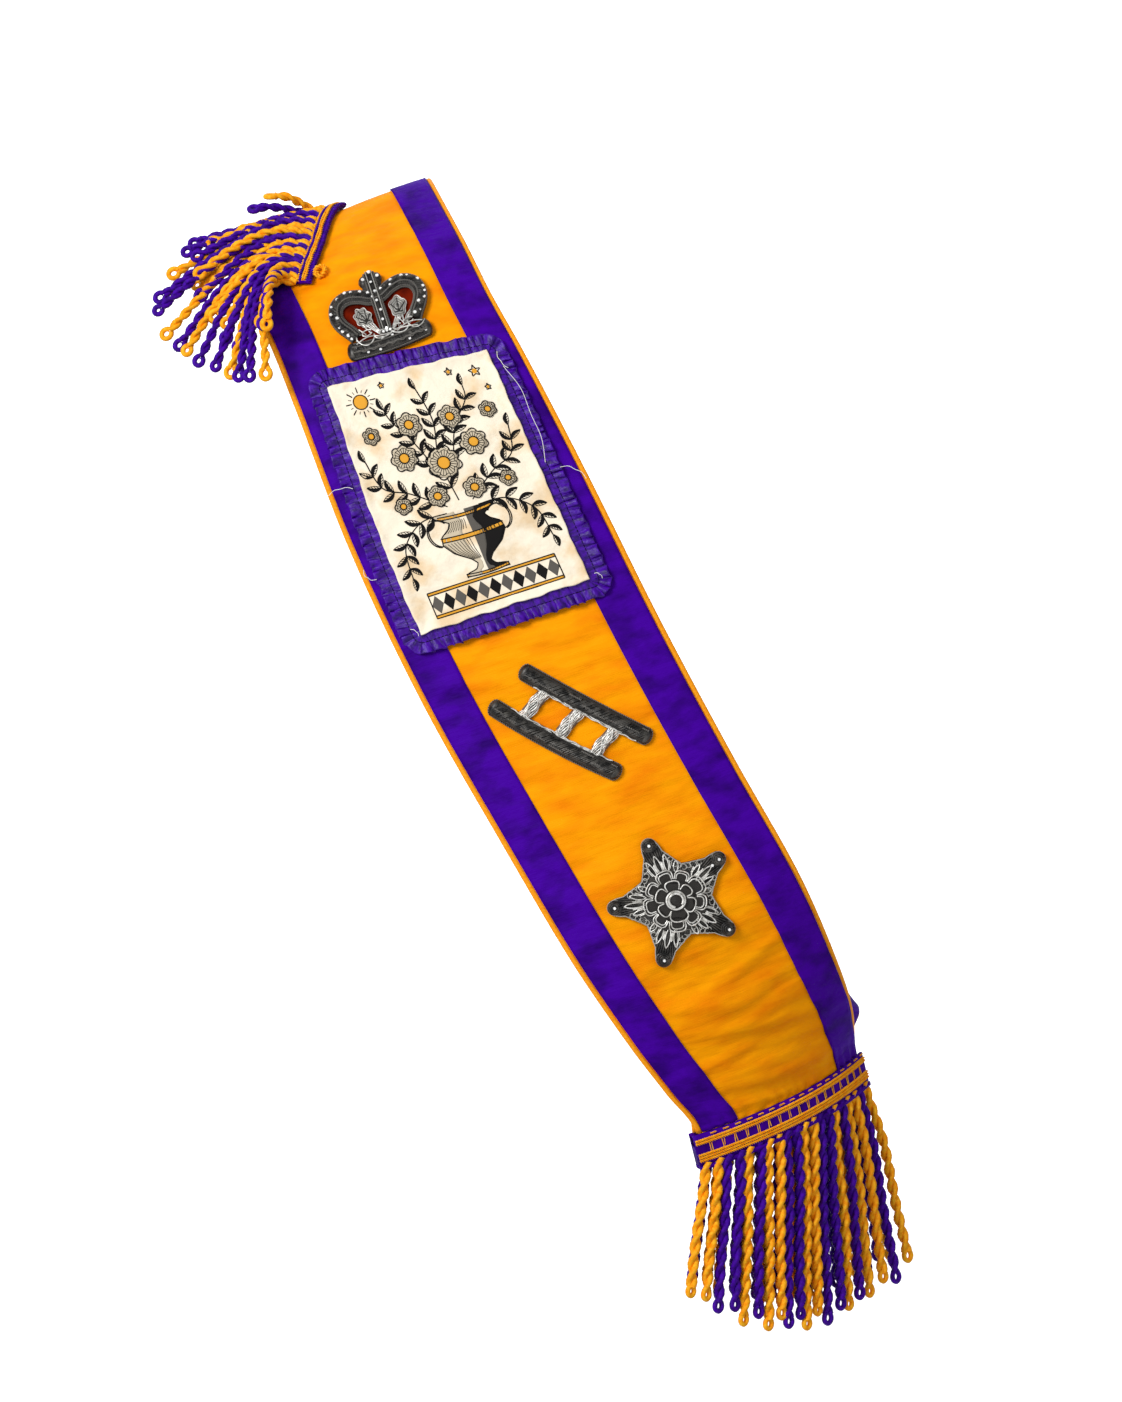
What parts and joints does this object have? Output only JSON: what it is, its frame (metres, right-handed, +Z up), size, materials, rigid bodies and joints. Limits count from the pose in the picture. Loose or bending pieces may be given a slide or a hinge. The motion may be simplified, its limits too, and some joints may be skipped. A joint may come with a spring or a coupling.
{
  "type": "sash of an order",
  "caption": "Broad corded silk sash worn over one shoulder to the opposite hip, with ribbon borders, a ruffled cloth picture, embroidered badges and corded fringes at the shoulder and the hip.",
  "frame": {"origin": "the seat on the shoulder: the middle of the shoulder seam on the underside of the band", "axes": "+Z up, -Y towards the side that shows from the front, +X towards the hip where the two lengths meet"},
  "size_m": [0.4828, 0.2328, 0.7367],
  "materials": {
    "orange_silk": "corded silk with a soft sheen",
    "purple_ribbon": "ribbed silk ribbon",
    "orange_piping": "rolled silk edge",
    "red_velvet": "matt velvet",
    "grey_bullion": "tarnished metal thread over padding",
    "silver_thread": "bright metal thread",
    "cream_linen": "plain woven cloth, aged",
    "purple_braid": "woven braid with orange cords",
    "orange_cord": "twisted cord, with purple cords among the orange"
  },
  "bodies": {
    "root": {"front_silk": "orange_silk", "front_ribbon_arm": "purple_ribbon", "front_binding_arm": "orange_piping", "front_ribbon_neck": "purple_ribbon", "front_binding_neck": "orange_piping", "back_silk": "orange_silk", "back_ribbon_arm": "purple_ribbon", "back_binding_arm": "orange_piping", "back_ribbon_neck": "purple_ribbon", "back_binding_neck": "orange_piping", "crown_velvet": "red_velvet", "crown_frame": "grey_bullion", "crown_base_band": "grey_bullion", "crown_centre_bar": "grey_bullion", "crown_orb": "grey_bullion", "crown_leaf_left": "silver_thread", "crown_leaf_right": "silver_thread", "picture_panel": "cream_linen", "picture_ruffle": "purple_ribbon", "ladder_rail_upper": "grey_bullion", "ladder_rail_lower": "grey_bullion", "ladder_rung_1": "silver_thread", "ladder_rung_2": "silver_thread", "ladder_rung_3": "silver_thread", "star_plate": "grey_bullion", "star_rosette_outer": "silver_thread", "star_rosette_inner": "silver_thread", "star_centre_bead": "grey_bullion", "hip_heading": "purple_braid", "hip_fringe_front": "orange_cord", "hip_fringe_back": "orange_cord", "shoulder_heading": "purple_braid", "shoulder_fringe": "orange_cord", "shoulder_knot": "orange_cord"}
  },
  "joints": []
}
